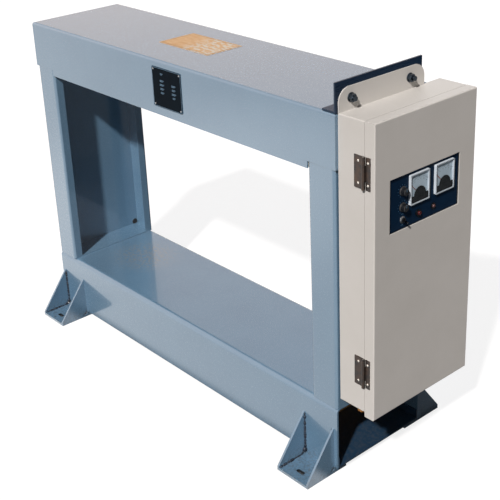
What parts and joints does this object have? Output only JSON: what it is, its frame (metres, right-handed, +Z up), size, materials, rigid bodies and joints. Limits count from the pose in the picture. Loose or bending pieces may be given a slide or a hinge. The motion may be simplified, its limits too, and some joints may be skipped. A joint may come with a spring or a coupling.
{
  "type": "conveyor metal detector",
  "caption": "Conveyor metal detector: rectangular detection ring on slotted feet, with a hinged control cabinet and instrument window on its right end.",
  "frame": {"origin": "on the floor, at the centre of the pattern of four foot slots", "axes": "+X along the ring towards the control cabinet, +Y with the belt from the front face to the rear, +Z up"},
  "size_m": [1.49, 0.532, 1.101],
  "materials": {
    "ring_paint": "satin blue-grey enamel",
    "tray_paint": "satin blue-grey enamel",
    "liner_board": "glass-fibre board",
    "coil_tape": "varnished tape over enamelled wire",
    "bearer_wood": "sealed hardwood",
    "plate_black": "engraving laminate, left plain",
    "label_gold": "printed film, left plain",
    "bracket_navy": "dark navy enamel",
    "zinc": "zinc plated",
    "cabinet_paint": "fine textured powder coat",
    "rubber_black": "moulded",
    "foam_gasket": "closed-cell foam",
    "gland_brass": "dull",
    "plate_zinc": "zinc plated sheet",
    "board_green": "solder resist",
    "component_black": "moulded",
    "core_steel": "varnished laminations",
    "winding_tape": "taped winding",
    "terminal_grey": "moulded",
    "hinge_dark": "dark bronze plate",
    "pin_steel": "ground",
    "lock_nickel": "nickel plated",
    "strike_zinc": "zinc plated",
    "panel_navy": "satin dark blue",
    "meter_black": "moulded",
    "dial_white": "printed scale",
    "shroud_black": "moulded",
    "cover_clear": "clear acrylic",
    "needle_red": "enamelled",
    "pot_steel": "pressed case",
    "knob_black": "moulded",
    "switch_case": "moulded",
    "lever_chrome": "plated",
    "bezel_steel": "turned",
    "button_red": "moulded",
    "lens_red": "translucent"
  },
  "bodies": {
    "ring": {"bottom_beam_shell": "ring_paint", "bottom_beam_base": "tray_paint", "left_upright": "ring_paint", "right_upright": "ring_paint", "top_beam_shell": "ring_paint", "top_beam_liner": "liner_board", "transmit_coil": "coil_tape", "receive_coils": "coil_tape", "coil_bearers": "bearer_wood", "front_left_foot": "ring_paint", "front_right_foot": "ring_paint", "rear_left_foot": "ring_paint", "rear_right_foot": "ring_paint", "blank_plate": "plate_black", "top_label": "label_gold", "angle_bracket": "bracket_navy", "bracket_bolts": "zinc", "bracket_nuts": "zinc", "cabinet_body": "cabinet_paint", "buffer_pads": "rubber_black", "cable_glands": "gland_brass", "component_plate": "plate_zinc", "circuit_board": "board_green", "board_components": "component_black", "transformer_core": "core_steel", "transformer_winding": "winding_tape", "terminal_block": "terminal_grey", "lock_barrel": "lock_nickel", "upper_hinge_body_leaf": "hinge_dark", "lower_hinge_body_leaf": "hinge_dark", "hinge_pins": "pin_steel"},
    "door": {"door_pan": "cabinet_paint", "door_gasket": "foam_gasket", "lock_strike": "strike_zinc", "upper_hinge_door_leaf": "hinge_dark", "lower_hinge_door_leaf": "hinge_dark", "instrument_gasket": "rubber_black", "instrument_panel": "panel_navy", "left_meter_case": "meter_black", "right_meter_case": "meter_black", "meter_dials": "dial_white", "meter_shrouds": "shroud_black", "meter_covers": "cover_clear", "potentiometers": "pot_steel", "switch_body": "switch_case", "button_housing": "bezel_steel", "indicator_lamp": "bezel_steel", "lamp_lens": "lens_red"},
    "lock_cam": {"lock_plug": "lock_nickel"},
    "left_needle": {"left_meter_needle": "needle_red"},
    "right_needle": {"right_meter_needle": "needle_red"},
    "upper_knob_body": {"upper_knob": "knob_black"},
    "lower_knob_body": {"lower_knob": "knob_black"},
    "lever": {"switch_lever": "lever_chrome"},
    "button": {"push_button": "button_red"}
  },
  "joints": [
    {"name": "door_hinge", "type": "hinge", "parent": "ring", "child": "door", "pos_m": [0.7645, -0.1615, 0.6285], "axis": [0, 0, -1], "range_deg": [0, 170]},
    {"name": "lock_turn", "type": "hinge", "parent": "ring", "child": "lock_cam", "pos_m": [0.737, 0.2, 0.62], "axis": [0, 1, 0], "range_deg": [0, 90]},
    {"name": "upper_knob_turn", "type": "hinge", "parent": "door", "child": "upper_knob_body", "pos_m": [0.79, -0.0525, 0.83], "axis": [1, 0, 0], "range_deg": [-150, 150]},
    {"name": "lower_knob_turn", "type": "hinge", "parent": "door", "child": "lower_knob_body", "pos_m": [0.79, -0.0525, 0.788], "axis": [1, 0, 0], "range_deg": [-150, 150]},
    {"name": "switch_throw", "type": "hinge", "parent": "door", "child": "lever", "pos_m": [0.7901, -0.0525, 0.755], "axis": [0, -1, 0], "range_deg": [0, 24]},
    {"name": "button_press", "type": "slide", "parent": "door", "child": "button", "axis": [-1, 0, 0], "range_m": [0, 0.003], "stiffness_N_per_m": 200, "springref_m": -0.002},
    {"name": "left_needle_swing", "type": "hinge", "parent": "door", "child": "left_needle", "pos_m": [0.789, 0.005, 0.806], "axis": [-1, 0, 0], "range_deg": [0, 90]},
    {"name": "right_needle_swing", "type": "hinge", "parent": "door", "child": "right_needle", "pos_m": [0.789, 0.098, 0.806], "axis": [-1, 0, 0], "range_deg": [0, 90]}
  ]
}
